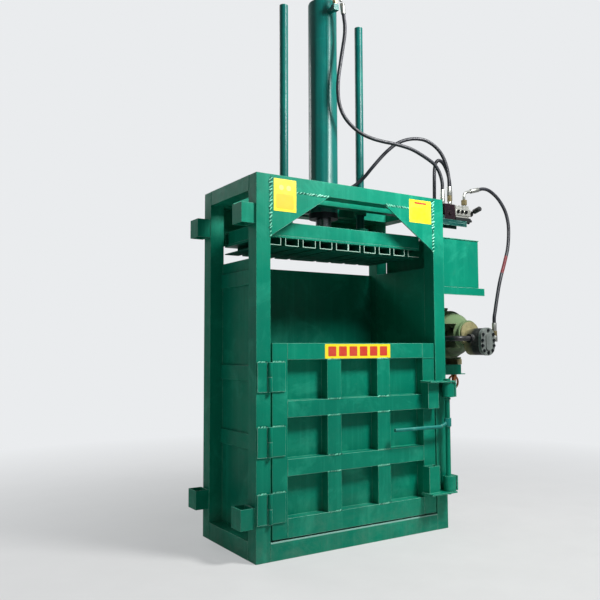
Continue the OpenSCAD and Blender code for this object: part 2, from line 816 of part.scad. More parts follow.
module motor_shaft() {
  color(steel) translate([motor_cx, bell_back, motor_z]) rotate([90, 0, 0]) {
    translate([0, 0, -motor_l - 60]) cylinder(h = motor_l + 60 + 110, d = 40);
    cylinder(h = bell_l + 40, d = pump_bore);
    translate([0, 0, 30]) cylinder(h = 44, d = 96);
    translate([0, 0, 78]) cylinder(h = 44, d = 96);
    for (i = [0:3]) rotate([0, 0, i * 90 + 20]) translate([28, -9, 70]) cube([16, 18, 12]);
    translate([0, 0, -motor_l - 52]) {
      cylinder(h = 40, d = 84);
      for (i = [0:6]) rotate([0, 0, i * 360 / 7]) translate([36, -2, 3]) cube([70, 4, 34]);
    }
  }
}

// Valve group on its shelf

valve_y = -fy + 70;
shelf_z = frame_h - 116;
block = [92, 84, 104];
block_px = fx + 46;
body_px = fx + 149;
body_w = 140;
valve_shelf_w = 238;
module valve_shelf() {
  color(green) {
    translate([fx, valve_y - 50, shelf_z - 8]) cube([valve_shelf_w, 100, 8]);
    for (y = [valve_y - 50, valve_y + 44]) {
      translate([fx, y, shelf_z - 40]) cube([valve_shelf_w, 6, 32]);
    }
    translate([fx, valve_y - 50, shelf_z]) cube([34, 6, 24]);
  }
}
port_a = [fx + 67, valve_y];
port_b = [fx + 130, valve_y];
module valve_block() {
  color("#4a1f2a") translate([block_px, valve_y - block[1] / 2, shelf_z]) {
    cube([block[0], block[1], block[2]]);
    for (x = [20, 70]) translate([x, 68, block[2]]) cylinder(h = 9, d = 26, $fn = 6);
    translate([block[0] / 2, 0, block[2] * 0.45]) rotate([90, 0, 0])
      cylinder(h = 9, d = 28, $fn = 6);
  }
}
spool_z = shelf_z + 66;
rear_port = [fx + 212, valve_y + 75];
module valve_body() {
  color(steel) translate([body_px, valve_y, shelf_z]) {
    // Base casting, waist, spool section and top port section
    translate([0, -38, 0]) cube([body_w, 76, 24]);
    translate([8, -28, 24]) cube([body_w - 16, 56, 22]);
    translate([0, -36, 40]) cube([body_w, 72, 46]);
    translate([84, -28, 86]) cube([48, 56, 24]);
    translate([12, -30, 86]) cube([54, 60, 12]);
    // Round plugs and bolt heads on the front face
    for (x = [22, 58, 94]) translate([x, -36, 63]) rotate([90, 0, 0])
      cylinder(h = 9, d = 24, $fn = 32);
    for (x = [12, 128], z = [8]) translate([x, -26, 24]) cylinder(h = z, d = 14, $fn = 6);
    for (x = [24, 54]) translate([x, -14, 98]) cylinder(h = 10, d = 20, $fn = 6);
    // Rear port for the return line
    translate([rear_port[0] - body_px - 22, 36, 52]) cube([44, 62, 40]);
  }
}
end_x = body_px + body_w;
lever_gap = 0.3;
end_cap_l = 22;
module valve_end_cap() {
  color(black) {
    translate([end_x, valve_y, spool_z]) rotate([0, 90, 0]) {
      cylinder(h = 8, d = 52, $fn = 48);
      translate([0, 0, 8]) cylinder(h = end_cap_l - 8, d = 40, $fn = 48);
    }
    translate([end_x + 2, valve_y - 8, shelf_z + 4]) rotate([0, 90, 0])
      cylinder(h = 10, d = 26, $fn = 6);
    translate([end_x, valve_y - 8, shelf_z + 14]) rotate([0, 90, 0])
      cylinder(h = 34, d = 17, $fn = 32);
  }
}
lever_tilt = 14;
lever_l = 96;
module valve_lever() {
  hub_x = end_x + end_cap_l + lever_gap;
  color(black) translate([hub_x, valve_y, spool_z]) {
    rotate([0, 90, 0]) cylinder(h = 22, d = 40);
    translate([11, 0, 0]) rotate([90 - lever_tilt, 0, 0]) {
      cylinder(h = 44, d = 16);
      translate([0, 0, 40]) cylinder(h = lever_l - 44, d = 34);
      translate([0, 0, lever_l - 4]) cylinder(h = 5, d = 26);
    }
  }
}

// Hose ends: swaged steel ferrules, bent steel tubes and brass nuts

module ferrule(p, dir, l, d) {
  turn = [0, acos(dir[2] / norm(dir)), atan2(dir[1], dir[0])];
  translate(p) rotate(turn) cylinder(h = l, d = d, $fn = 32);
}

// Hoses. Routes run through points chosen along each hose.

top_points = [
  [46, -140, 3265], [50, -140.5, 3235.4], [56, -140, 3195], [58, -137, 3150], [54, -135, 3105],
  [46, -133, 3055], [36, -131, 2995], [25, -130, 2930], [14, -129, 2865], [8, -128, 2800],
  [8, -128, 2745], [14, -128, 2690], [30, -129, 2640], [55, -131, 2598], [90, -134, 2562],
  [135, -138, 2530], [190, -147, 2502], [255, -161, 2482], [325, -177, 2470],
  [400, -194, 2463], [470, -209, 2453], [535, -223, 2438], [595, -234, 2414],
  [650, -243, 2388], [700, -250, 2360], [735, -256, 2320], [753, -261, 2275],
  [760, -265, 2230], [760, -265, 2187]];
low_points = [
  [184, 31, 2180], [214, 26, 2191], [245, 13, 2212], [272, -8, 2239], [291, -32, 2267],
  [308, -55, 2298], [327, -76, 2330],
  [375, -100, 2392], [420, -120, 2442], [470, -144, 2486], [530, -167, 2515],
  [590, -190, 2527], [650, -211, 2524], [706, -227, 2502], [752, -240, 2466],
  [786, -249, 2420], [808, -257, 2362], [820, -262, 2300], [823, -265, 2250],
  [823, -265, 2216]];
return_points = [
  [757, -190, 1902], [757, -190, 1955], [757, -190, 2010], [757, -190, 2070],
  [758, -190, 2130], [759, -190, 2190], [760, -190, 2250], [761, -190, 2305],
  [765, -190, 2352], [777, -190, 2390], [802, -190, 2411], [834, -190, 2404],
  [862, -190, 2376], [884, -190, 2336], [899, -190, 2288], [905, -190, 2240],
  [905, -190, 2210]];
pressure_points = [
  [1091, -272, 2226], [1132, -275, 2237], [1174, -283, 2233], [1214, -292, 2212],
  [1250, -302, 2180], [1280, -312, 2138], [1302, -322, 2090], [1313, -330, 2038],
  [1315, -337, 1984], [1308, -343, 1920], [1295, -349, 1860], [1277, -355, 1805],
  [1252, -360, 1750], [1222, -367, 1690], [1188, -374, 1625], [1160, -380, 1562],
  [1136, -385, 1495], [1112, -391, 1425], [1093, -397, 1372], [1083, -399.5, 1345],
  [1080, -400, 1322], [1080, -400, 1300]];

// A route drawn for the standard sizes, moved by a at its start and by b at its end
function moved(p, a, b) = [for (i = [0:len(p) - 1]) let (k = i / (len(p) - 1))
  p[i] + (1 - k) * a + k * b];
crown_shift = [fx - 693, 335 - fy, frame_h - 2100];
top_shift = [0, (186 - barrel_d) / 2, barrel_top - 3388];
low_shift = [(barrel_d - 186) / 2, ram_y - 31, frame_h - 2100];
tank_shift = [fx - 693, 335 - fy, tank_z + tank_h - 1861];
pump_shift = [fx + motor_x - 927, 335 - fy, motor_z - 1225];
hose_top_route = moved(top_points, top_shift, crown_shift);
hose_low_route = moved(low_points, low_shift, crown_shift);
hose_return_route = moved(return_points, tank_shift, crown_shift);
hose_pressure_route = moved(pressure_points, crown_shift, pump_shift);

function unit(v) = v / norm(v);
// Direction of the route at point i
function along(r, i) = unit(r[min(i + 1, len(r) - 1)] - r[max(i - 1, 0)]);
module hose(route, d, n = 10) {
  up = [0.11, 0.97, 0.23];
  rings = [for (i = [0:len(route) - 1]) let (t = along(route, i), u = unit(cross(up, t)),
    v = cross(t, u)) for (k = [0:n - 1]) route[i] + d / 2 * (cos(k * 360 / n) * u
    + sin(k * 360 / n) * v)];
  last = (len(route) - 1) * n;
  faces = concat(
    [[for (k = [0:n - 1]) n - 1 - k]],
    [[for (k = [0:n - 1]) last + k]],
    [for (i = [0:len(route) - 2], k = [0:n - 1]) let (a = i * n + k, b = i * n + (k + 1) % n)
      each [[a, b, b + n], [a, b + n, a + n]]]);
  polyhedron(rings, faces);
}
module hose_top_port() { color(black) hose(hose_top_route, hose_d); }
module hose_low_port() { color(black) hose(hose_low_route, hose_d); }
module hose_return() { color(black) hose(hose_return_route, hose_d); }
module hose_pressure() { color(black) hose(hose_pressure_route, hose_d); }

ferrule_d = hose_d + 6;
tube_d = 18;
module end_of(route, first, l, d) {
  i = first ? 0 : len(route) - 1;
  t = along(route, i);
  ferrule(route[i], first ? -t : t, l, d);
}
// Bent tube: starts at the origin along +Z and turns toward +X
module bend(r, a, d) {
  translate([r, 0, 0]) rotate([90, 0, 0]) rotate([0, 0, 180]) mirror([0, 1, 0])
    rotate_extrude(angle = a, $fn = 64) translate([r, 0]) circle(d = d, $fn = 24);
}
block_top = shelf_z + block[2];
nut_d = 34;
pump_port_y = -fy - 65;
pump_end_z = motor_z + 75;
pump_end_x = motor_cx + 153;
pump_port_z = motor_z - 30;
module steel_fittings() {
  top = hose_top_route[0];
  port_mid = port_face_y + 16;
  color(steel) {
    // Top port: adapter, a bend over the top and the first ferrule
    translate([port_x, port_mid, port_top + port_d / 2]) cylinder(h = 9, d = 26, $fn = 32);
    translate([port_x, port_mid, port_top + 50]) rotate([0, 0, -10]) bend(21, 180, tube_d);
    ferrule(top, [-9, 1, 66], 66, ferrule_d);
    // Lower port: adapter and ferrule
    translate([port_low_reach, ram_y, port_low]) rotate([0, 90, 0])
      cylinder(h = 14, d = 32, $fn = 6);
    translate([port_low_reach + 14, ram_y, port_low]) mirror([0, 0, 1]) rotate([0, 90, 0])
      bend(60, 16, tube_d);
    end_of(hose_low_route, true, 46, ferrule_d);
    // Block ports
    translate([port_a[0], port_a[1], block_top]) cylinder(h = 19, d = 32, $fn = 6);
    translate([port_a[0], port_a[1], block_top + 19]) cylinder(h = 80, d = ferrule_d, $fn = 32);
    translate([port_b[0], port_b[1], block_top]) cylinder(h = 26, d = 24, $fn = 32);
    translate([port_b[0], port_b[1], block_top + 68]) cylinder(h = 60, d = ferrule_d, $fn = 32);
    // Return line: ferrule and adapter on the valve, flange and ferrule on the tank
    translate([rear_port[0], rear_port[1], shelf_z + 92]) cylinder(h = 74, d = 24, $fn = 32);
    translate([rear_port[0], rear_port[1], shelf_z + 160]) cylinder(h = 66, d = ferrule_d, $fn = 32);
    translate([fx + 64, valve_y + 75, tank_z + tank_h]) {
      cylinder(h = 8, d = 60, $fn = 48);
      cylinder(h = 41, d = ferrule_d, $fn = 32);
    }
    // Pressure line: bent tube above the valve
    translate([fx + 267, valve_y, shelf_z + 110]) cylinder(h = 12, d = 24, $fn = 32);
    translate([fx + 267, valve_y, shelf_z + 156]) {
      cylinder(h = 24, d = tube_d, $fn = 24);
      translate([0, 0, 24]) bend(34, 75, tube_d);
    }
    end_of(hose_pressure_route, true, 114, tube_d);
    end_of(hose_pressure_route, true, 72, ferrule_d);
    // Pump outlet: adapter, elbow and ferrule
    translate([motor_cx + pump_w / 2 + 14, pump_port_y, pump_port_z]) rotate([0, 90, 0])
      cylinder(h = 46, d = 28, $fn = 32);
    translate([pump_end_x, pump_port_y, pump_port_z - 20]) cylinder(h = 40, d = 38, $fn = 32);
    translate([pump_end_x, pump_port_y, pump_end_z - 54]) cylinder(h = 54, d = ferrule_d, $fn = 32);
  }
}
module brass_fittings() {
  color("#c9a14a") {
    translate([port_x, port_face_y + 16, port_top + port_d / 2 + 9])
      cylinder(h = 41 - port_d / 2, d = nut_d, $fn = 6);
    translate([port_b[0], port_b[1], block_top + 26]) cylinder(h = 42, d = nut_d - 4, $fn = 6);
    translate([fx + 267, valve_y, shelf_z + 122]) cylinder(h = 34, d = nut_d + 6, $fn = 6);
    translate([pump_end_x, pump_port_y, pump_port_z + 20])
      cylinder(h = pump_end_z - 54 - pump_port_z - 20, d = nut_d + 2, $fn = 6);
  }
}

// Rigid suction pipe from the tank's floor to the pump, and a drain cock under the bracket

suction_x = fx + 47;
suction_y = -fy + 169;
suction_r = 40;
module suction_pipe() {
  left = motor_cx - pump_w / 2 - 14;
  color(black) {
    translate([left, pump_port_y, pump_port_z]) rotate([0, -90, 0])
      cylinder(h = left - suction_x - suction_r, d = suction_d);
    translate([left, pump_port_y, pump_port_z]) rotate([0, -90, 0]) cylinder(h = 12, d = 56);
    translate([suction_x + suction_r, pump_port_y, pump_port_z])
      rotate([0, 0, 180]) rotate([-90, 0, 0]) rotate([0, 90, 0])
      bend(suction_r, 90, suction_d);
    translate([suction_x, pump_port_y + suction_r, pump_port_z]) rotate([-90, 0, 0])
      cylinder(h = suction_y - pump_port_y - 2 * suction_r, d = suction_d);
    translate([suction_x, suction_y, pump_port_z + suction_r]) rotate([180, 0, 0])
      rotate([0, 0, 90]) bend(suction_r, 90, suction_d);
    translate([suction_x, suction_y, pump_port_z + suction_r])
      cylinder(h = tank_z - 8 - pump_port_z - suction_r, d = suction_d);
    translate([suction_x, suction_y, tank_z - 8 - 12]) cylinder(h = 12, d = 66);
  }
}
cock_x = fx + 285;
cock_y = -120;
module drain_cock() {
  top = bracket_top - bracket_h - 6;
  color("#a0603a") {
    translate([cock_x, cock_y, top - 14]) cylinder(h = 14, d = 40, $fn = 6);
    translate([cock_x, cock_y, top - 70]) cylinder(h = 58, d = 30);
    translate([cock_x, cock_y, top - 84]) cylinder(h = 16, d = 20);
    translate([cock_x - 6, cock_y, top - 52]) rotate([90, 0, 0]) difference() {
      cylinder(h = 10, d = 96, center = true);
      cylinder(h = 12, d = 78, center = true);
    }
  }
}

posts_front();
posts_rear();
top_beams();
base_beams();
gussets();
lifting_sockets();
side_walls();
wall_rear();
wall_ribs();
chamber_floor();
floor_channels();
crown_beams();
crown_plate();
guide_sleeves();
cylinder_barrel();
cylinder_gland();
cylinder_bolts();
hinge_post_leaves();
lock_keepers();
tank();
tank_lid();
filler_cap();
tank_shelf();
motor_bracket();
motor_rails();
motor_body();
fan_cowl();
terminal_box();
bell_housing();
pump_body();
pump_cover();
pump_bolts();
valve_shelf();
valve_block();
valve_body();
valve_end_cap();
steel_fittings();
brass_fittings();
hose_top_port();
hose_low_port();
hose_return();
hose_pressure();
suction_pipe();
drain_cock();
piston_rod();
guide_rods();
platen_plate();
platen_beams();
platen_webs();
platen_channels();
platen_bosses();
door_skin();
door_stiles();
door_rails();
door_hinge_leaves();
lock_brackets();
lock_shaft();
lock_handle();
motor_shaft();
valve_lever();
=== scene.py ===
"""Looks of the recycling baler: materials, weld beads, hoses, plates, camera and light."""
import json
import math
import random

import bmesh
import bpy
from mathutils import Matrix, Vector


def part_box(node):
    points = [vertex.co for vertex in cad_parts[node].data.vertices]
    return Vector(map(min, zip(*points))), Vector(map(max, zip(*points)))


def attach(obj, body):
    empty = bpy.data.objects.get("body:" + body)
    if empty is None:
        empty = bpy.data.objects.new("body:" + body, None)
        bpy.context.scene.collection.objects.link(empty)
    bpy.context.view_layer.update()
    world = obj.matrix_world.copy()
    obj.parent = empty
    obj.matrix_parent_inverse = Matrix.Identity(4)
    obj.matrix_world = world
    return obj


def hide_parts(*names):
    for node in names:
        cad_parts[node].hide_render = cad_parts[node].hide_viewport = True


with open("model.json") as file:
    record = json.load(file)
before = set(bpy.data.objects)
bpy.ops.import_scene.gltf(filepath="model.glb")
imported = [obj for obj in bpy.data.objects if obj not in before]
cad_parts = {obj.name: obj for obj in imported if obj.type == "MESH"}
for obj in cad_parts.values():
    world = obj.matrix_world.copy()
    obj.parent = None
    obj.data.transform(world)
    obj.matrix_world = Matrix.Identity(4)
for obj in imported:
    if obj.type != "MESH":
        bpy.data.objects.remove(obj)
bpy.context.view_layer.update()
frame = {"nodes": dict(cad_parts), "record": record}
NODES = frame["nodes"]
MM = 0.001
OUT, UP, RIGHT = (0, -1, 0), (0, 0, 1), (1, 0, 0)


def link_object(name, data):
    obj = bpy.data.objects.new(name, data)
    bpy.context.scene.collection.objects.link(obj)
    return obj


# Camera, at the photograph's place and angle

CAMERA_AT = (-2.484, -3.598, 1.140)
YAW, PITCH, ROLL = math.radians(32.40), math.radians(3.94), math.radians(-0.19)
FOCAL_PX, IMAGE_PX = 690.7, 600.0


def make_camera():
    data = bpy.data.cameras.new("camera")
    data.sensor_width = 36.0
    data.lens = FOCAL_PX / IMAGE_PX * data.sensor_width
    data.clip_end = 100.0
    cam = link_object("camera", data)
    turn = (Matrix.Rotation(-YAW, 4, "Z") @ Matrix.Rotation(math.pi / 2 + PITCH, 4, "X")
            @ Matrix.Rotation(ROLL, 4, "Z"))
    cam.matrix_world = Matrix.Translation(CAMERA_AT) @ turn
    bpy.context.scene.camera = cam


make_camera()


# Node-tree helpers

def new_material(name):
    mat = bpy.data.materials.new(name)
    mat.use_nodes = True
    tree = mat.node_tree
    return mat, tree, tree.nodes["Principled BSDF"]


def add(tree, kind, **values):
    """A shader node with input values given by socket name."""
    node = tree.nodes.new(kind)
    for key, value in values.items():
        node.inputs[key].default_value = value
    return node


def coords(tree, scale=(1, 1, 1), rotation=(0, 0, 0)):
    """Object coordinates, at rest the shared frame's metres, scaled for one pattern."""
    tex = tree.nodes.new("ShaderNodeTexCoord")
    mapping = tree.nodes.new("ShaderNodeMapping")
    mapping.inputs["Scale"].default_value = scale
    mapping.inputs["Rotation"].default_value = rotation
    tree.links.new(tex.outputs["Object"], mapping.inputs["Vector"])
    return mapping.outputs["Vector"]


def noise(tree, vector, scale, detail=4.0, rough=0.55, distortion=0.0):
    node = add(tree, "ShaderNodeTexNoise", Scale=scale, Detail=detail, Roughness=rough,
               Distortion=distortion)
    tree.links.new(vector, node.inputs["Vector"])
    return node.outputs["Fac"]


def ramp(tree, value, stops):
    """A colour ramp with (place, colour) stops. A plain number is a grey."""
    node = tree.nodes.new("ShaderNodeValToRGB")
    elements = node.color_ramp.elements
    while len(elements) < len(stops):
        elements.new(0.5)
    for element, (place, colour) in zip(elements, stops):
        element.position = place
        element.color = colour if hasattr(colour, "__len__") else (colour, colour, colour, 1)
    tree.links.new(value, node.inputs["Fac"])
    return node.outputs["Color"]


def feed(tree, value, socket):
    """Links a socket's output into another, or sets a plain value there."""
    if isinstance(value, bpy.types.NodeSocket):
        tree.links.new(value, socket)
    else:
        socket.default_value = value


def mix(tree, factor, a, b):
    """Mixes two colours. Each is a socket or a colour, and the factor is a socket or a number."""
    node = tree.nodes.new("ShaderNodeMix")
    node.data_type = "RGBA"
    for index, value in ((0, factor), (6, a), (7, b)):
        feed(tree, value, node.inputs[index])
    return node.outputs[2]


def combine(tree, operation, a, b):
    """A math node's result for two values, each a socket or a number."""
    node = tree.nodes.new("ShaderNodeMath")
    node.operation = operation
    feed(tree, a, node.inputs[0])
    feed(tree, b, node.inputs[1])
    return node.outputs[0]


def multiply(tree, a, b):
    return combine(tree, "MULTIPLY", a, b)


def overlay(tree, value, low, high, share, colour, tone):
    """Lays a share of a second tone over a colour as a value passes from low to high."""
    mask = ramp(tree, value, [(low, 0.0), (high, 1.0)])
    return mix(tree, multiply(tree, mask, share), colour, tone)


def bump(tree, shader, height, strength, distance):
    node = add(tree, "ShaderNodeBump", Strength=strength, Distance=distance)
    tree.links.new(height, node.inputs["Height"])
    tree.links.new(node.outputs["Normal"], shader.inputs["Normal"])


def edge_mask(tree, radius):
    """White within the radius of an edge, where rounded and true surface directions part."""
    rounded = add(tree, "ShaderNodeBevel", Radius=radius)
    rounded.samples = 4
    geometry = tree.nodes.new("ShaderNodeNewGeometry")
    dot = tree.nodes.new("ShaderNodeVectorMath")
    dot.operation = "DOT_PRODUCT"
    tree.links.new(rounded.outputs["Normal"], dot.inputs[0])
    tree.links.new(geometry.outputs["Normal"], dot.inputs[1])
    return ramp(tree, dot.outputs["Value"], [(0.86, 1.0), (0.992, 0.0)])


EDGE_MARK_WIDTH = 3.5 * MM


def edge_wear_and_highlight(tree, rubbed):
    """Edges rubbed to primer and paled as painted edge highlight, broken up by noise between two
    levels.
    """
    patches = ramp(tree, noise(tree, coords(tree), 42.0, 7.0, 0.72),
                   [(rubbed[0], 0.0), (rubbed[1], 1.0)])
    return multiply(tree, edge_mask(tree, EDGE_MARK_WIDTH), patches)


def srgb(r, g, b):
    """A colour written 0 to 255, as Blender's linear one."""
    def linear(v):
        v /= 255.0
        return v / 12.92 if v <= 0.04045 else ((v + 0.055) / 1.055) ** 2.4
    return (linear(r), linear(g), linear(b), 1.0)


# Materials

def band(tree, vector, axis, stops):
    """A ramp along one of the object's axes, in metres."""
    split = tree.nodes.new("ShaderNodeSeparateXYZ")
    tree.links.new(vector, split.inputs[0])
    lo, hi = stops[0][0], stops[-1][0]
    scaled = add(tree, "ShaderNodeMapRange", **{"From Min": lo, "From Max": hi})
    tree.links.new(split.outputs[axis], scaled.inputs["Value"])
    return ramp(tree, scaled.outputs["Result"], [((p - lo) / (hi - lo), v) for p, v in stops])


def step(tree, vector, axis, span, first, last):
    """One value before a short span of an axis and another one after it."""
    return band(tree, vector, axis, [(span[0], first), (span[1], last)])


DUST, SPECK = srgb(150, 172, 156), srgb(140, 176, 156)
SPLASH, EDGE_PALE = srgb(140, 146, 134), srgb(150, 206, 182)
SPLASH_HEIGHTS = [(0.0, 1.0), (0.10, 0.7), (0.30, 0.0)]


def enamel(tree, vector, base, pale, dark, dust):
    """Cloudy paint with runs, blots, dust, specks and dirt splashed up near the ground."""
    clouds = noise(tree, vector, 1.7, 5.0, 0.55, 0.3)
    colour = mix(tree, ramp(tree, clouds, [(0.30, 0.0), (0.70, 1.0)]), dark, base)
    runs = noise(tree, coords(tree, (26, 26, 0.9)), 1.0, 4.0, 0.6)
    colour = overlay(tree, runs, 0.52, 0.84, 0.26, colour, pale)
    blots = noise(tree, vector, 4.3, 8.0, 0.68, 0.8)
    colour = overlay(tree, blots, 0.52, 0.72, 0.34, colour, pale)
    dusty = noise(tree, vector, 6.0, 9.0, 0.75, 0.6)
    colour = overlay(tree, dusty, 0.54, 0.80, dust, colour, DUST)
    splash = multiply(tree, band(tree, vector, "Z", SPLASH_HEIGHTS),
                      ramp(tree, dusty, [(0.40, 0.0), (0.66, 1.0)]))
    colour = mix(tree, multiply(tree, splash, 0.18), colour, SPLASH)
    specks = noise(tree, vector, 210.0, 2.0, 0.5)
    return overlay(tree, specks, 0.70, 0.75, 0.22, colour, SPECK)


def painted(name, base, pale, dark, rough=0.40, brushed=1.0, dust=0.04, edge_colour=None,
            coat=0.04, edge_share=0.7, rubbed=(0.34, 0.56), extra=None):
    """Enamel on welded steel: brush marks, uneven gloss, dust, and edges both rubbed and paled as
    painted highlight.
    """
    mat, tree, shader = new_material(name)
    vector = coords(tree)
    colour = enamel(tree, vector, base, pale, dark, dust)
    if extra:
        colour = extra(tree, vector, colour)
    # Pale edges: rubbed paint and painted edge highlight
    colour = mix(tree, multiply(tree, edge_wear_and_highlight(tree, rubbed), edge_share), colour, edge_colour or EDGE_PALE)
    tree.links.new(colour, shader.inputs["Base Color"])
    gloss = ramp(tree, noise(tree, vector, 11.0, 6.0, 0.65),
                 [(0.30, rough - 0.08), (0.72, rough + 0.18)])
    tree.links.new(gloss, shader.inputs["Roughness"])
    shader.inputs["Specular IOR Level"].default_value = 0.12
    shader.inputs["Coat Weight"].default_value = coat
    shader.inputs["Coat Roughness"].default_value = 0.22
    marks = mix(tree, 0.5, noise(tree, coords(tree, (90, 90, 5)), 1.0, 3.0, 0.6),
                noise(tree, vector, 26.0, 4.0, 0.6))
    bump(tree, shader, marks, 0.16 * brushed, 0.004)
    return mat


def metal(name, base, rough, grain=(6, 6, 90), tarnish=0.25, tint=None, extra=None):
    """Bare or plated metal with fine turning lines, dull patches and small scratches."""
    mat, tree, shader = new_material(name)
    vector = coords(tree)
    dark = tint or tuple(c * 0.45 for c in base[:3]) + (1.0,)
    dull = noise(tree, vector, 28.0, 6.0, 0.7)
    colour = overlay(tree, dull, 0.38, 0.75, tarnish, base, dark)
    if extra:
        colour = extra(tree, vector, colour)
    tree.links.new(colour, shader.inputs["Base Color"])
    shader.inputs["Metallic"].default_value = 1.0
    lines = noise(tree, coords(tree, grain), 14.0, 5.0, 0.7)
    tree.links.new(ramp(tree, lines, [(0.25, rough - 0.07), (0.8, rough + 0.16)]),
                   shader.inputs["Roughness"])
    bump(tree, shader, lines, 0.10, 0.0008)
    return mat


def rubber(name, base, rough=0.42):
    """Hose cover: fine cloth-wrap impression, dust and dull rubbed places."""
    mat, tree, shader = new_material(name)
    vector = coords(tree)
    grime = noise(tree, vector, 18.0, 6.0, 0.7)
    colour = overlay(tree, grime, 0.42, 0.78, 0.35, base, srgb(60, 64, 74))
    tree.links.new(colour, shader.inputs["Base Color"])
    tree.links.new(ramp(tree, noise(tree, vector, 40.0, 5.0, 0.7),
                        [(0.3, rough - 0.08), (0.75, rough + 0.2)]), shader.inputs["Roughness"])
    wrap = add(tree, "ShaderNodeTexWave", Scale=170.0, Distortion=1.5)
    wrap.bands_direction = "DIAGONAL"
    tree.links.new(vector, wrap.inputs["Vector"])
    bump(tree, shader, wrap.outputs["Fac"], 0.22, 0.0006)
    return mat


def plastic(name, base, rough=0.4):
    """Moulded black plastic with a fine grain and handling marks."""
    mat, tree, shader = new_material(name)
    vector = coords(tree)
    marks = ramp(tree, noise(tree, vector, 60.0, 5.0, 0.7), [(0.45, 0.0), (0.8, 1.0)])
    tree.links.new(mix(tree, multiply(tree, marks, 0.4), base, srgb(88, 88, 90)),
                   shader.inputs["Base Color"])
    tree.links.new(ramp(tree, marks, [(0.0, rough), (1.0, rough + 0.2)]),
                   shader.inputs["Roughness"])
    bump(tree, shader, noise(tree, vector, 900.0, 3.0, 0.6), 0.12, 0.0004)
    return mat


def printed(name, base, worn):
    """Sun-bleached sticker film: faint creases and small bubbles."""
    mat, tree, shader = new_material(name)
    vector = coords(tree)
    bleached = noise(tree, vector, 16.0, 6.0, 0.7)
    colour = overlay(tree, bleached, 0.35, 0.8, 0.55, base, worn)
    tree.links.new(colour, shader.inputs["Base Color"])
    tree.links.new(ramp(tree, noise(tree, vector, 50.0, 4.0, 0.6), [(0.3, 0.30), (0.8, 0.55)]),
                   shader.inputs["Roughness"])
    bump(tree, shader, noise(tree, vector, 85.0, 4.0, 0.6), 0.16, 0.0012)
    return mat


# Where the marks on single pieces begin and end, in metres
CHANNEL_END_Y = (-0.2350, -0.2342)
LEDGE_Z, LEDGE_X = (0.0915, 0.0940), (0.600, 0.604)
FLANGE_Y = (-0.40, -0.335)
LOWER_SHADE_Z = (1.11, 1.215)
PLUG_Y, SHADED_FOOT_Z = (-0.3046, -0.3040), (2.0075, 2.0090)


def bare_ends(tree, vector, colour):
    """Cut front ends left in pale primer."""
    return mix(tree, step(tree, vector, "Y", CHANNEL_END_Y, 1.0, 0.0), colour,
               srgb(158, 186, 172))


def ledge_wear_and_highlight(tree, vector, colour):
    """Top front edge between the posts, under the door, paled both as rubbed paint and as painted
    highlight.
    """
    inner, outer = LEDGE_X
    between = band(tree, vector, "X", [(-outer, 0.0), (-inner, 1.0), (inner, 1.0), (outer, 0.0)])
    line = multiply(tree, step(tree, vector, "Z", LEDGE_Z, 0.0, 1.0), between)
    return mix(tree, multiply(tree, line, 0.85), colour, srgb(150, 196, 184))


def scraped(tree, vector, colour):
    """Worn through in long scratches."""
    lines = noise(tree, coords(tree, (9, 9, 150), (0, 0.12, 0)), 1.0, 6.0, 0.7, 0.8)
    return overlay(tree, lines, 0.54, 0.62, 0.5, colour, srgb(110, 148, 140))


def oily(tree, vector, colour):
    """Khaki at the flange, then dark and oily."""
    spread = noise(tree, vector, 22.0, 5.0, 0.7)
    flange = multiply(tree, step(tree, vector, "Y", FLANGE_Y, 0.0, 1.0),
                      ramp(tree, spread, [(0.30, 0.55), (0.60, 1.0)]))
    return mix(tree, flange, colour, srgb(158, 152, 112))


def painted_lower_shade(tree, vector, colour):
    """Painted shade: dark on the lower half, broken up by noise."""
    spread = noise(tree, vector, 16.0, 5.0, 0.7)
    low = multiply(tree, step(tree, vector, "Z", LOWER_SHADE_Z, 1.0, 0.0),
                   ramp(tree, spread, [(0.30, 0.3), (0.62, 1.0)]))
    return mix(tree, multiply(tree, low, 0.8), colour, srgb(44, 48, 38))


def plugs_and_foot_shade(tree, vector, colour):
    """Black plugs on the front, and painted shade on the foot."""
    colour = mix(tree, step(tree, vector, "Y", PLUG_Y, 1.0, 0.0), colour, srgb(30, 32, 34))
    # Painted shade: the foot below a set height in dark grey
    return mix(tree, step(tree, vector, "Z", SHADED_FOOT_Z, 1.0, 0.0), colour, srgb(64, 68, 68))


FRAME_COLOURS = (srgb(2, 136, 107), srgb(58, 186, 154), srgb(1, 114, 92))
# Paler, stronger edges: rubbed paint and painted edge highlight
WORN_AND_HIGHLIT_EDGES = {"edge_colour": srgb(178, 232, 214), "edge_share": 0.95, "rubbed": (0.20, 0.46)}
GREEN = painted("green_paint", *FRAME_COLOURS)
WORN_HIGHLIT = painted("worn_highlit_green_paint", *FRAME_COLOURS, **WORN_AND_HIGHLIT_EDGES)
BASE = painted("base_paint", *FRAME_COLOURS, **WORN_AND_HIGHLIT_EDGES, extra=ledge_wear_and_highlight)
# A dark copy of the frame green as painted shade, worn through in scratches
SHADED_SHELF = painted("shaded_scraped_paint", srgb(4, 66, 60), srgb(30, 120, 104), srgb(3, 48, 46),
                extra=scraped)
# A darker copy of the frame green as painted shade under the platen, with pale cut ends
SHADED_CHANNEL = painted("shaded_channel_paint", srgb(2, 104, 84), srgb(22, 140, 112), srgb(1, 84, 70),
                  rough=0.80, coat=0.0, extra=bare_ends)
TEAL = painted("teal_rod_paint", srgb(1, 100, 92), srgb(16, 138, 120), srgb(1, 86, 82),
               rough=0.36, brushed=0.6, dust=0.03, coat=0.25)
HANDLE = painted("pale_teal_paint", srgb(40, 146, 134), srgb(120, 204, 192), srgb(16, 116, 106),
                 rough=0.34)
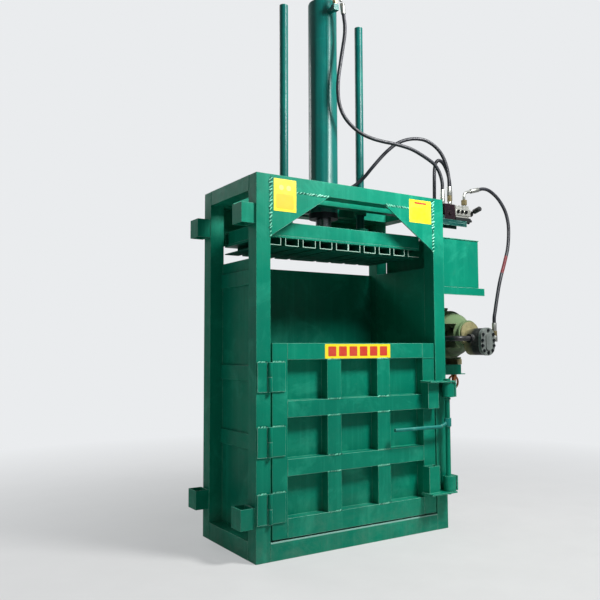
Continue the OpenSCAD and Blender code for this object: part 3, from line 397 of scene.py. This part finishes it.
# Khaki, with painted shade on its lower half
KHAKI = painted("khaki_paint", srgb(116, 132, 98), srgb(160, 168, 132), srgb(88, 124, 82),
                rough=0.46, brushed=1.6, edge_colour=srgb(200, 200, 160), extra=painted_lower_shade)
PUMP = painted("pump_paint", srgb(50, 52, 52), srgb(110, 112, 108), srgb(30, 32, 33),
               rough=0.36, brushed=1.4, edge_colour=srgb(128, 128, 122), extra=oily)
COVER = painted("cover_paint", srgb(116, 124, 120), srgb(170, 178, 172), srgb(72, 78, 78),
                rough=0.40, brushed=1.2, edge_colour=srgb(176, 180, 172))
MAROON = painted("maroon_paint", srgb(30, 15, 24), srgb(70, 44, 52), srgb(18, 9, 16),
                 rough=0.46, edge_colour=srgb(120, 100, 98))
BEAD_GREEN = painted("bead_green", srgb(8, 150, 120), srgb(120, 210, 184), srgb(2, 120, 98),
                     rough=0.30, brushed=0.4, dust=0.4)
# Darker bead strokes, painted shade between the pale ones
BEAD_SHADE = painted("bead_shade", srgb(2, 92, 76), srgb(8, 120, 98), srgb(1, 66, 58),
                    rough=0.5, brushed=0.4, dust=0.2, edge_share=0.1)
# Pale bead strokes: bead green lightened as painted highlight
BEAD_HIGHLIGHT = painted("bead_highlight", srgb(150, 236, 206), srgb(224, 252, 240), srgb(96, 212, 178),
                    rough=0.34, brushed=0.4, dust=0.4)
EVEN_GRAIN = (20, 20, 20)
STEEL = metal("zinc_steel", srgb(176, 178, 172), 0.38, tarnish=0.45)
# Chrome darkened as painted shade
SHADED_CHROME = metal("chrome_rod", srgb(120, 126, 130), 0.26, grain=(4, 4, 30), tarnish=0.30)
# Silver, with black plugs and painted shade on its foot
SILVER = metal("valve_silver", srgb(214, 216, 208), 0.42, grain=(30, 30, 30), tarnish=0.50,
               extra=plugs_and_foot_shade)
BRASS = metal("brass", srgb(160, 148, 110), 0.45, EVEN_GRAIN, 0.50, srgb(96, 80, 52))
COPPER = metal("copper", srgb(168, 104, 70), 0.38, EVEN_GRAIN, 0.45, srgb(80, 46, 32))
# Dark steel; on the cylinder gland it is painted shade
DARK_STEEL_AND_SHADE = metal("dark_steel", srgb(52, 56, 60), 0.42, EVEN_GRAIN, 0.40)
HOSE = rubber("hose_rubber", srgb(15, 18, 27))
HOSE_RED = rubber("hose_red", srgb(104, 20, 26), 0.55)
BLACK = plastic("black_plastic", srgb(24, 25, 27))
YELLOW = printed("sticker_yellow", srgb(250, 230, 20), srgb(232, 214, 90))
RED = printed("sticker_red", srgb(206, 48, 32), srgb(214, 110, 84))
AMBER = printed("sticker_amber", srgb(232, 196, 20), srgb(222, 190, 60))
PALE = printed("sticker_pale", srgb(240, 226, 120), srgb(226, 206, 110))

SLOT_MATERIAL = {"green_paint": GREEN, "khaki_paint": KHAKI, "pump_grey": PUMP,
                 "maroon_paint": MAROON, "zinc_steel": STEEL, "chrome_rod": SHADED_CHROME,
                 "valve_silver": SILVER, "brass": BRASS, "black_plastic": BLACK,
                 "hose_rubber": HOSE}


# CAD nodes: materials, and a small rounding on the edges of most of them

FINE = {"pump_bolts", "cylinder_bolts", "brass_fittings", "steel_fittings", "valve_block",
        "valve_body", "valve_end_cap", "valve_lever", "filler_cap", "drain_cock", "pump_cover"}
NO_BEVEL = {"piston_rod", "guide_rods", "cylinder_gland", "motor_shaft"}
# The cylinder gland's dark steel is painted shade
REPAINT = {"drain_cock": COPPER, "guide_rods": TEAL, "cylinder_barrel": TEAL,
           "cylinder_gland": DARK_STEEL_AND_SHADE, "pump_bolts": DARK_STEEL_AND_SHADE, "pump_cover": COVER,
           "valve_shelf": SHADED_SHELF, "lock_handle": HANDLE, "platen_channels": SHADED_CHANNEL,
           "suction_pipe": BLACK, "base_beams": BASE}
REPAINT.update(dict.fromkeys(("lock_brackets", "door_hinge_leaves", "hinge_post_leaves",
                              "gussets", "platen_beams", "lock_keepers", "tank_lid",
                              "tank_shelf", "door_rails"), WORN_HIGHLIT))
HOSES = ("hose_top_port", "hose_low_port", "hose_return", "hose_pressure")
EDGE, FINE_EDGE = 2.2 * MM, 0.8 * MM


def soften(obj, width):
    """Joins the mesh's split corners, rounds its edges and keeps flat faces flat."""
    weld = obj.modifiers.new("weld", "WELD")
    weld.merge_threshold = 0.02 * MM
    bevel = obj.modifiers.new("bevel", "BEVEL")
    bevel.width = width
    bevel.segments = 2
    bevel.limit_method = "ANGLE"
    bevel.angle_limit = math.radians(38)
    bevel.harden_normals = True


def dress_cad():
    """Gives every CAD node its material, and its rounded edges where they aren't left sharp."""
    for part in frame["record"]["subparts"]:
        node = part["node"]
        obj = NODES[node]
        obj.data.materials.clear()
        obj.data.materials.append(REPAINT.get(node, SLOT_MATERIAL[part["material_slot"]]))
        if node not in HOSES and node not in NO_BEVEL:
            soften(obj, FINE_EDGE if node in FINE else EDGE)


dress_cad()


# Hoses. Each follows its CAD tube through the same points.

HOSE_D = 24 * MM
# Diameters of the cover and of the red mark, as shares of the hose's
COVER_SHARE, MARK_SHARE = 0.965, 0.985
# The red mark lies between two heights, on the part of the hose that is further out
RED_MARK_LOW, RED_MARK_HIGH, RED_MARK_X = 1.630, 1.765, 1.15
ROUTES = {
    "top_port": [
        (46, -140, 3265), (50, -140.5, 3235.4), (56, -140, 3195), (58, -137, 3150),
        (54, -135, 3105), (46, -133, 3055), (36, -131, 2995), (25, -130, 2930),
        (14, -129, 2865), (8, -128, 2800), (8, -128, 2745), (14, -128, 2690), (30, -129, 2640),
        (55, -131, 2598), (90, -134, 2562), (135, -138, 2530), (190, -147, 2502),
        (255, -161, 2482), (325, -177, 2470), (400, -194, 2463), (470, -209, 2453),
        (535, -223, 2438), (595, -234, 2414), (650, -243, 2388), (700, -250, 2360),
        (735, -256, 2320), (753, -261, 2275), (760, -265, 2230), (760, -265, 2187)],
    "low_port": [
        (184, 31, 2180), (214, 26, 2191), (245, 13, 2212), (272, -8, 2239), (291, -32, 2267),
        (308, -55, 2298), (327, -76, 2330), (375, -100, 2392), (420, -120, 2442),
        (470, -144, 2486), (530, -167, 2515), (590, -190, 2527), (650, -211, 2524),
        (706, -227, 2502), (752, -240, 2466), (786, -249, 2420), (808, -257, 2362),
        (820, -262, 2300), (823, -265, 2250), (823, -265, 2216)],
    "return": [
        (757, -190, 1902), (757, -190, 1955), (757, -190, 2010), (757, -190, 2070),
        (758, -190, 2130), (759, -190, 2190), (760, -190, 2250), (761, -190, 2305),
        (765, -190, 2352), (777, -190, 2390), (802, -190, 2411), (834, -190, 2404),
        (862, -190, 2376), (884, -190, 2336), (899, -190, 2288), (905, -190, 2240),
        (905, -190, 2210)],
    "pressure": [
        (1091, -272, 2226), (1132, -275, 2237), (1174, -283, 2233), (1214, -292, 2212),
        (1250, -302, 2180), (1280, -312, 2138), (1302, -322, 2090), (1313, -330, 2038),
        (1315, -337, 1984), (1308, -343, 1920), (1295, -349, 1860), (1277, -355, 1805),
        (1252, -360, 1750), (1222, -367, 1690), (1188, -374, 1625), (1160, -380, 1562),
        (1136, -385, 1495), (1112, -391, 1425), (1093, -397, 1372), (1083, -399.5, 1345),
        (1080, -400, 1322), (1080, -400, 1300)]}
STEPS = 4


def smooth_line(route):
    """Points, in metres, of a Catmull-Rom curve through a route's points."""
    p = [Vector(q) * MM for q in route]
    p = [2 * p[0] - p[1]] + p + [2 * p[-1] - p[-2]]
    line = []
    for a, b, c, d in zip(p, p[1:], p[2:], p[3:]):
        for k in range(STEPS):
            t = k / STEPS
            line.append(0.5 * (2 * b + (c - a) * t + (2 * a - 5 * b + 4 * c - d) * t * t
                               + (3 * b - a - 3 * c + d) * t ** 3))
    return line + [p[-2]]


def new_curve(name, radius, resolution, material):
    """A round tube's curve, still without its splines."""
    data = bpy.data.curves.new(name, "CURVE")
    data.dimensions = "3D"
    data.bevel_depth = radius
    data.bevel_resolution = resolution
    data.use_fill_caps = True
    data.materials.append(material)
    return data


def add_spline(data, points):
    """An open spline through points given as (place, thickness)."""
    spline = data.splines.new("POLY")
    spline.points.add(len(points) - 1)
    for point, (place, thick) in zip(spline.points, points):
        point.co = (*place, 1.0)
        point.radius = thick
    return spline


def hose_piece(name, line, share, material):
    """A tube along a line, a share of the hose's diameter wide."""
    data = new_curve(name, HOSE_D / 2 * share, 6, material)
    add_spline(data, [(p, 1.0) for p in line]).use_smooth = True
    piece = link_object(name, data)
    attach(piece, "frame")
    return piece


def make_hoses():
    """The four hose covers, which stand in for the CAD tubes."""
    for name, route in ROUTES.items():
        line = smooth_line(route)
        hose = hose_piece("hose_" + name + "_cover", line, COVER_SHARE, HOSE)
        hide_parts("hose_" + name)


make_hoses()


def red_band():
    """A worn red mark along the pressure hose."""
    line = [p for p in smooth_line(ROUTES["pressure"])
            if RED_MARK_LOW < p.z < RED_MARK_HIGH and p.x > RED_MARK_X]
    hose_piece("hose_red_band", line, MARK_SHARE, HOSE_RED)


red_band()


# Weld beads. A weave is a row of slanting strokes, and a plain bead has ripples.

FRAME_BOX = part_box("posts_front")
FX = FRAME_BOX[1].x
FRONT = FRAME_BOX[0].y
POST = FRAME_BOX[1].y - FRAME_BOX[0].y
IN_X = FX - POST
BEAM_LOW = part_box("top_beams")[0].z
BEAM_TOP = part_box("top_beams")[1].z
BASE_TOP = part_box("base_beams")[1].z
GUSSET_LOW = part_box("gussets")[0].z
GUSSET_LEG = 396 * MM
# Distance between a weave's pale strokes, and between a plain bead's ripples
WEAVE, RIB_WEAVE, LEAF_WEAVE, RIPPLE = 21 * MM, 16 * MM, 15 * MM, 4 * MM
# How far out the front beam's weave starts, 6 mm inside each sticker's inner edge
STICKER_EDGE = {-1: 0.430, 1: 0.398}
# Lower edges and height of the hinge leaves, in millimetres
LEAF_LOW, LEAF_H = (200, 553, 901), 160
SOCKET_H, SOCKET_D = 112 * MM, 110 * MM
STILE, RAIL, LOW_RAIL, DOOR_DEPTH = 97 * MM, 92 * MM, 104 * MM, 60 * MM
DOOR_LO, DOOR_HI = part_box("door_stiles")
POCKET_W = (DOOR_HI.x - DOOR_LO.x - 4 * STILE) / 3
POCKET_H = (DOOR_HI.z - DOOR_LO.z - LOW_RAIL - 3 * RAIL) / 3
# Both faces of the lock brackets' plates, in millimetres, and the plates' left and right ends
PLATE_Z, PLATE_X = (236, 246, 920, 930), (0.474, 0.590)
SEAM_X, SEAM_Z = (0.500, 0.588), 1.072
bead_dice = random.Random(7)


class Beads:
    """Weld beads on one body, drawn as the open splines of one curve."""

    def __init__(self, name, body, material, radius=3 * MM):
        self.name, self.body, self.material, self.radius = name, body, material, radius
        self.lines, self.shade_strokes = [], []

    def weave(self, a, b, side, out, half=12 * MM, end=None, pitch=WEAVE):
        """Slanting strokes from a to b, half wide each way at a and end wide at b, with
        darker strokes of painted shade between them."""
        a, b, side, out = Vector(a), Vector(b), Vector(side), Vector(out)
        count = max(2, round((b - a).length / pitch))
        along = (b - a).normalized() * (pitch * 0.40)
        for i in range(2 * count):
            t = (i + 0.5) / (2 * count)
            reach = half + ((end or half) - half) * t
            reach *= bead_dice.uniform(0.55, 1.1)
            middle = a.lerp(b, t) + out * self.radius * 0.25
            middle += along * bead_dice.uniform(-0.45, 0.45)
            thick = bead_dice.uniform(0.65, 1.3)
            lean = along * bead_dice.uniform(0.4, 1.5)
            stroke = [(middle - side * reach - lean, thick * 0.7), (middle, thick),
                      (middle + side * reach + lean, thick * 0.8)]
            # Every other stroke is a darker one of painted shade
            (self.shade_strokes if i % 2 else self.lines).append(stroke)

    def run(self, a, b, out, size=1.0):
        """A plain rippled fillet from a to b."""
        a, b, out = Vector(a), Vector(b), Vector(out)
        count = max(3, int((b - a).length / RIPPLE))
        line = []
        for i in range(count + 1):
            wobble = out * self.radius * bead_dice.uniform(-0.12, 0.12)
            thick = size * (1.0 if i % 2 else 0.8) * bead_dice.uniform(0.9, 1.1)
            line.append((a.lerp(b, i / count) + wobble, thick))
        self.lines.append(line)

    def build(self):
        bead_curve(self.name, self.lines, self.material, self.radius, self.body)
        if self.shade_strokes:
            bead_curve(self.name + "_burnt", self.shade_strokes, BEAD_SHADE, self.radius * 0.8, self.body)


def bead_curve(name, lines, material, radius, body):
    """One curve object of many open beads."""
    data = new_curve(name, radius, 1, material)
    for line in lines:
        add_spline(data, line)
    beads = link_object(name, data)
    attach(beads, body)


def leaf_beads(beads, weaves, x, y, weave_ends, run_ends):
    """A weave above and a plain bead below each hinge leaf, with ends in millimetres from x."""
    for z in LEAF_LOW:
        a, b = ((x + end * MM, y - 4 * MM, (z + LEAF_H + 1) * MM) for end in weave_ends)
        weaves.weave(a, b, UP, OUT, 4.5 * MM, pitch=LEAF_WEAVE)
        a, b = ((x + end * MM, y - 5 * MM, z * MM) for end in run_ends)
        beads.run(a, b, UP, 0.9)


def post_beads(beads, weaves):
    """Gussets, the top ring and the base ring on the posts."""
    for s in (-1, 1):
        for y, out in ((FRONT, OUT), (-FRONT, (0, 1, 0))):
            weaves.weave((s * IN_X, y, GUSSET_LOW), (s * IN_X, y, BEAM_TOP - 12 * MM), RIGHT, out,
                         8 * MM, 13 * MM)
            # Under the front beam the bead stops where the sticker covers it
            start = IN_X - 12 * MM if y > 0 else STICKER_EDGE[s]
            weaves.weave((s * start, y, BEAM_LOW), (s * (IN_X - GUSSET_LEG), y, BEAM_LOW), UP,
                         out, 7 * MM)
        for y in (FRONT + POST, -FRONT - POST):
            beads.run((s * FX, y, BEAM_LOW), (s * FX, y, BEAM_TOP), (s, 0, 0), 0.8)
            beads.run((s * FX, y, 4 * MM), (s * FX, y, BASE_TOP), (s, 0, 0), 0.8)
    for s in (-1, 1):
        beads.run((s * IN_X, FRONT, 6 * MM), (s * IN_X, FRONT, BASE_TOP), OUT, 0.7)


def wall_beads(beads):
    """Wall sheets along the posts."""
    wall_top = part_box("side_walls")[1].z
    for s in (-1, 1):
        x = s * (IN_X + 6 * MM)
        for y in (FRONT + POST, -FRONT - POST):
            beads.run((x, y, BASE_TOP), (x, y, wall_top), (s, 0, 0), 0.7)


def socket_beads(beads):
    """Lifting sockets on the left posts."""
    lo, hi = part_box("lifting_sockets")
    for z0, z1 in ((lo.z, lo.z + SOCKET_H), (hi.z - SOCKET_H, hi.z)):
        for y in (lo.y, lo.y + SOCKET_D, hi.y - SOCKET_D):
            beads.run((-FX, y, z0), (-FX, y, z1), OUT)
    x, z = -FX - 3 * MM, lo.z + SOCKET_H + 1 * MM
    beads.run((x, lo.y + 30 * MM, z), (x, lo.y + 80 * MM, z), UP)


def frame_beads():
    beads = Beads("weld_beads_frame", "frame", BEAD_GREEN)
    weaves = Beads("weld_weaves_frame", "frame", BEAD_HIGHLIGHT, 3.8 * MM)
    post_beads(beads, weaves)
    wall_beads(beads)
    socket_beads(beads)
    leaf_beads(beads, weaves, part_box("hinge_post_leaves")[0].x, FRONT, (4, 56), (2, 58))
    beads.build()
    weaves.build()


def rail_top(k):
    """Height of the upper edge of rail k, counted from the bottom rail."""
    return DOOR_LO.z + LOW_RAIL + k * (POCKET_H + RAIL)


def rib_weaves(weaves, z0):
    """Both ends of the two ribs between the rails, from height z0."""
    y = DOOR_LO.y
    for i in (1, 2):
        x = DOOR_LO.x + i * (STILE + POCKET_W)
        for z in (z0, z0 + POCKET_H):
            weaves.weave((x + 3 * MM, y, z), (x + STILE - 3 * MM, y, z), UP, OUT, 4.4 * MM,
                         pitch=RIB_WEAVE)


def pocket_beads(beads, i, z0):
    """Fillets round a pocket, on its floor and in its corners, and one under its opening."""
    y, floor_y, z1 = DOOR_LO.y, DOOR_LO.y + DOOR_DEPTH, z0 + POCKET_H
    x0 = DOOR_LO.x + STILE + i * (STILE + POCKET_W)
    x1 = x0 + POCKET_W
    for xa, za, xb, zb in ((x0, z0, x1, z0), (x0, z1, x1, z1), (x0, z0, x0, z1),
                           (x1, z0, x1, z1)):
        beads.run((xa, floor_y, za), (xb, floor_y, zb), OUT, 0.8)
    beads.run((x0 + 2 * MM, y + 2 * MM, z0 - 1 * MM), (x1 - 2 * MM, y + 2 * MM, z0 - 1 * MM),
              UP, 0.45)


def rail_beads(beads):
    """Ends of the rails on the outer stiles."""
    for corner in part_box("door_rails"):
        for k in range(4):
            top = rail_top(k)
            low = top - (RAIL if k else LOW_RAIL)
            beads.run((corner.x, DOOR_LO.y, low + 3 * MM), (corner.x, DOOR_LO.y, top - 3 * MM),
                      OUT, 0.55)


def bracket_beads(beads):
    """Plates of the lock brackets, and a seam across the stile by the top rail's lower edge."""
    y = DOOR_LO.y - 1 * MM
    for z in PLATE_Z:
        beads.run((PLATE_X[0], y, z * MM), (PLATE_X[1], y, z * MM), OUT)
    beads.run((SEAM_X[0], y, SEAM_Z), (SEAM_X[1], y, SEAM_Z), OUT)


def door_beads():
    beads = Beads("weld_beads_door", "door", BEAD_GREEN)
    weaves = Beads("weld_weaves_door", "door", BEAD_HIGHLIGHT, 3.1 * MM)
    for k in range(3):
        z0 = rail_top(k)
        rib_weaves(weaves, z0)
        for i in range(3):
            pocket_beads(beads, i, z0)
    rail_beads(beads)
    leaf_beads(beads, weaves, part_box("door_hinge_leaves")[1].x, DOOR_LO.y, (-78, -4), (-84, -2))
    bracket_beads(beads)
    beads.build()
    weaves.build()


frame_beads()
door_beads()


# Stickers: yellow film with plain shapes printed on it

# Left, right, lower and upper edges in metres
LEFT_FILM, RIGHT_FILM = (-0.583, -0.436, 1.897, 2.080), (0.404, 0.588, 1.927, 2.074)
LEFT_FIELD, RIGHT_FIELD = (-0.568, -0.452, 1.912, 1.996), (0.424, 0.568, 1.944, 2.024)
RIGHT_BAR, DOOR_FILM = (0.446, 0.548, 2.048, 2.060), (-0.245, 0.235, 1.076, 1.160)
SPOTS_X, SPOT_R, SPOTS_Z = (-0.534, -0.486), 15 * MM, (2.016, 2.046)
BLOCKS, BLOCK_INSET, BLOCK_PITCH, BLOCK_W, BLOCK_Z = 6, 0.022, 0.0755, 0.056, (1.090, 1.146)
CORNER_STEPS = 4
# How far the films, and the shapes printed on them, stand off the front faces
FILM, PRINT = 0.6 * MM, 0.9 * MM


def film(name, edges, material, body, lift, corner=4 * MM):
    """A thin plate with rounded corners that stands off the front faces by lift."""
    x0, x1, z0, z1 = edges
    mesh = bmesh.new()
    y = FRONT - lift
    ring = []
    for cx, cz, start in ((x1 - corner, z1 - corner, 0), (x0 + corner, z1 - corner, 90),
                          (x0 + corner, z0 + corner, 180), (x1 - corner, z0 + corner, 270)):
        for k in range(CORNER_STEPS + 1):
            a = math.radians(start + k * 90 / CORNER_STEPS)
            ring.append(mesh.verts.new((cx + corner * math.cos(a), y, cz + corner * math.sin(a))))
    face = mesh.faces.new(ring)
    mesh.normal_update()
    if face.normal.y > 0:
        face.normal_flip()
    grown = bmesh.ops.extrude_face_region(mesh, geom=[face])
    moved = [v for v in grown["geom"] if isinstance(v, bmesh.types.BMVert)]
    bmesh.ops.translate(mesh, verts=moved, vec=(0, lift * 0.8, 0))
    bmesh.ops.recalc_face_normals(mesh, faces=mesh.faces[:])
    data = bpy.data.meshes.new(name)
    mesh.to_mesh(data)
    mesh.free()
    data.materials.append(material)
    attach(link_object(name, data), body)


def stickers():
    """The yellow films, and the shapes that are printed on them."""
    film("sticker_left", LEFT_FILM, YELLOW, "frame", FILM)
    film("sticker_right", RIGHT_FILM, YELLOW, "frame", FILM)
    film("sticker_door", DOOR_FILM, YELLOW, "door", FILM)
    for i in range(BLOCKS):
        x = DOOR_FILM[0] + BLOCK_INSET + i * BLOCK_PITCH
        film(f"sticker_door_block_{i}", (x, x + BLOCK_W, *BLOCK_Z), RED, "door", PRINT)
    for x in SPOTS_X:
        film(f"sticker_left_spot_{round(-x * 1000)}", (x - SPOT_R, x + SPOT_R, *SPOTS_Z), PALE,
             "frame", PRINT, 14 * MM)
    film("sticker_left_field", LEFT_FIELD, AMBER, "frame", PRINT, 10 * MM)
    film("sticker_right_bar", RIGHT_BAR, RED, "frame", PRINT, 5 * MM)
    film("sticker_right_field", RIGHT_FIELD, AMBER, "frame", PRINT, 10 * MM)


stickers()


# Floor, backdrop and light

BACKDROP = srgb(234, 236, 238)
MIRRORED_SHARE = 0.35
FLOOR_HALF = 30.0
WORLD_STRENGTH = 0.15


def background_rays(tree):
    """1 for rays that look straight at the background, and less for mirrored ones."""
    path = tree.nodes.new("ShaderNodeLightPath")
    value = path.outputs["Is Camera Ray"]
    for other, share in (("Is Glossy Ray", MIRRORED_SHARE), ("Is Transmission Ray", 1.0)):
        value = combine(tree, "MAXIMUM", value, multiply(tree, path.outputs[other], share))
    return value


def floor_material():
    """Pale grey that fades into the backdrop away from the object."""
    mat, tree, shader = new_material("studio_floor")
    vector = coords(tree)
    grey = ramp(tree, noise(tree, vector, 3.0, 6.0, 0.6),
                [(0.3, srgb(208, 208, 206)), (0.7, srgb(216, 216, 214))])
    tree.links.new(grey, shader.inputs["Base Color"])
    shader.inputs["Roughness"].default_value = 0.85
    glow = add(tree, "ShaderNodeEmission", Color=BACKDROP, Strength=1.0)
    away = tree.nodes.new("ShaderNodeVectorMath")
    away.operation = "LENGTH"
    tree.links.new(vector, away.inputs[0])
    # The distance from the object in tens of metres
    tens = multiply(tree, away.outputs["Value"], 0.1)
    fade = multiply(tree, ramp(tree, tens, [(0.10, 0.45), (0.50, 1.0)]), background_rays(tree))
    blend = tree.nodes.new("ShaderNodeMixShader")
    tree.links.new(fade, blend.inputs["Fac"])
    tree.links.new(shader.outputs[0], blend.inputs[1])
    tree.links.new(glow.outputs[0], blend.inputs[2])
    tree.links.new(blend.outputs[0], tree.nodes["Material Output"].inputs["Surface"])
    return mat


def make_floor():
    mesh = bpy.data.meshes.new("floor")
    s = FLOOR_HALF
    mesh.from_pydata([(-s, -s, 0), (s, -s, 0), (s, s, 0), (-s, s, 0)], [], [(0, 1, 2, 3)])
    mesh.materials.append(floor_material())
    link_object("floor", mesh)


def make_world():
    """A weak white light all round, seen as the backdrop's plain grey."""
    world = bpy.data.worlds.new("studio")
    bpy.context.scene.world = world
    world.use_nodes = True
    tree = world.node_tree
    back = tree.nodes["Background"]
    back.inputs["Color"].default_value = (1.0, 1.0, 1.0, 1.0)
    back.inputs["Strength"].default_value = WORLD_STRENGTH
    shown = add(tree, "ShaderNodeBackground", Color=BACKDROP)
    blend = tree.nodes.new("ShaderNodeMixShader")
    tree.links.new(background_rays(tree), blend.inputs["Fac"])
    tree.links.new(back.outputs[0], blend.inputs[1])
    tree.links.new(shown.outputs[0], blend.inputs[2])
    tree.links.new(blend.outputs[0], tree.nodes["World Output"].inputs["Surface"])


def area_lamp(name, place, target, size, power):
    """A round area lamp that faces the target, with size in metres and power in watts."""
    data = bpy.data.lights.new(name, "AREA")
    data.shape = "DISK"
    data.size = size
    data.energy = power
    lamp = link_object(name, data)
    lamp.location = place
    lamp.rotation_euler = (Vector(target) - Vector(place)).to_track_quat("-Z", "Y").to_euler()


def make_lamps():
    middle = (0.1, 0.0, 1.5)
    area_lamp("key", (1.4, -3.0, 5.0), (0.0, -0.3, 1.9), 1.2, 150)
    area_lamp("front", (0.8, -2.0, 3.4), (0.0, -0.3, 2.0), 0.8, 78)
    area_lamp("fill", (-5.6, -2.6, 3.4), middle, 3.4, 6)
    area_lamp("back", (-1.5, 5.4, 4.6), middle, 3.0, 90)


make_floor()
make_world()
make_lamps()

bpy.context.scene.view_settings.view_transform = "Standard"
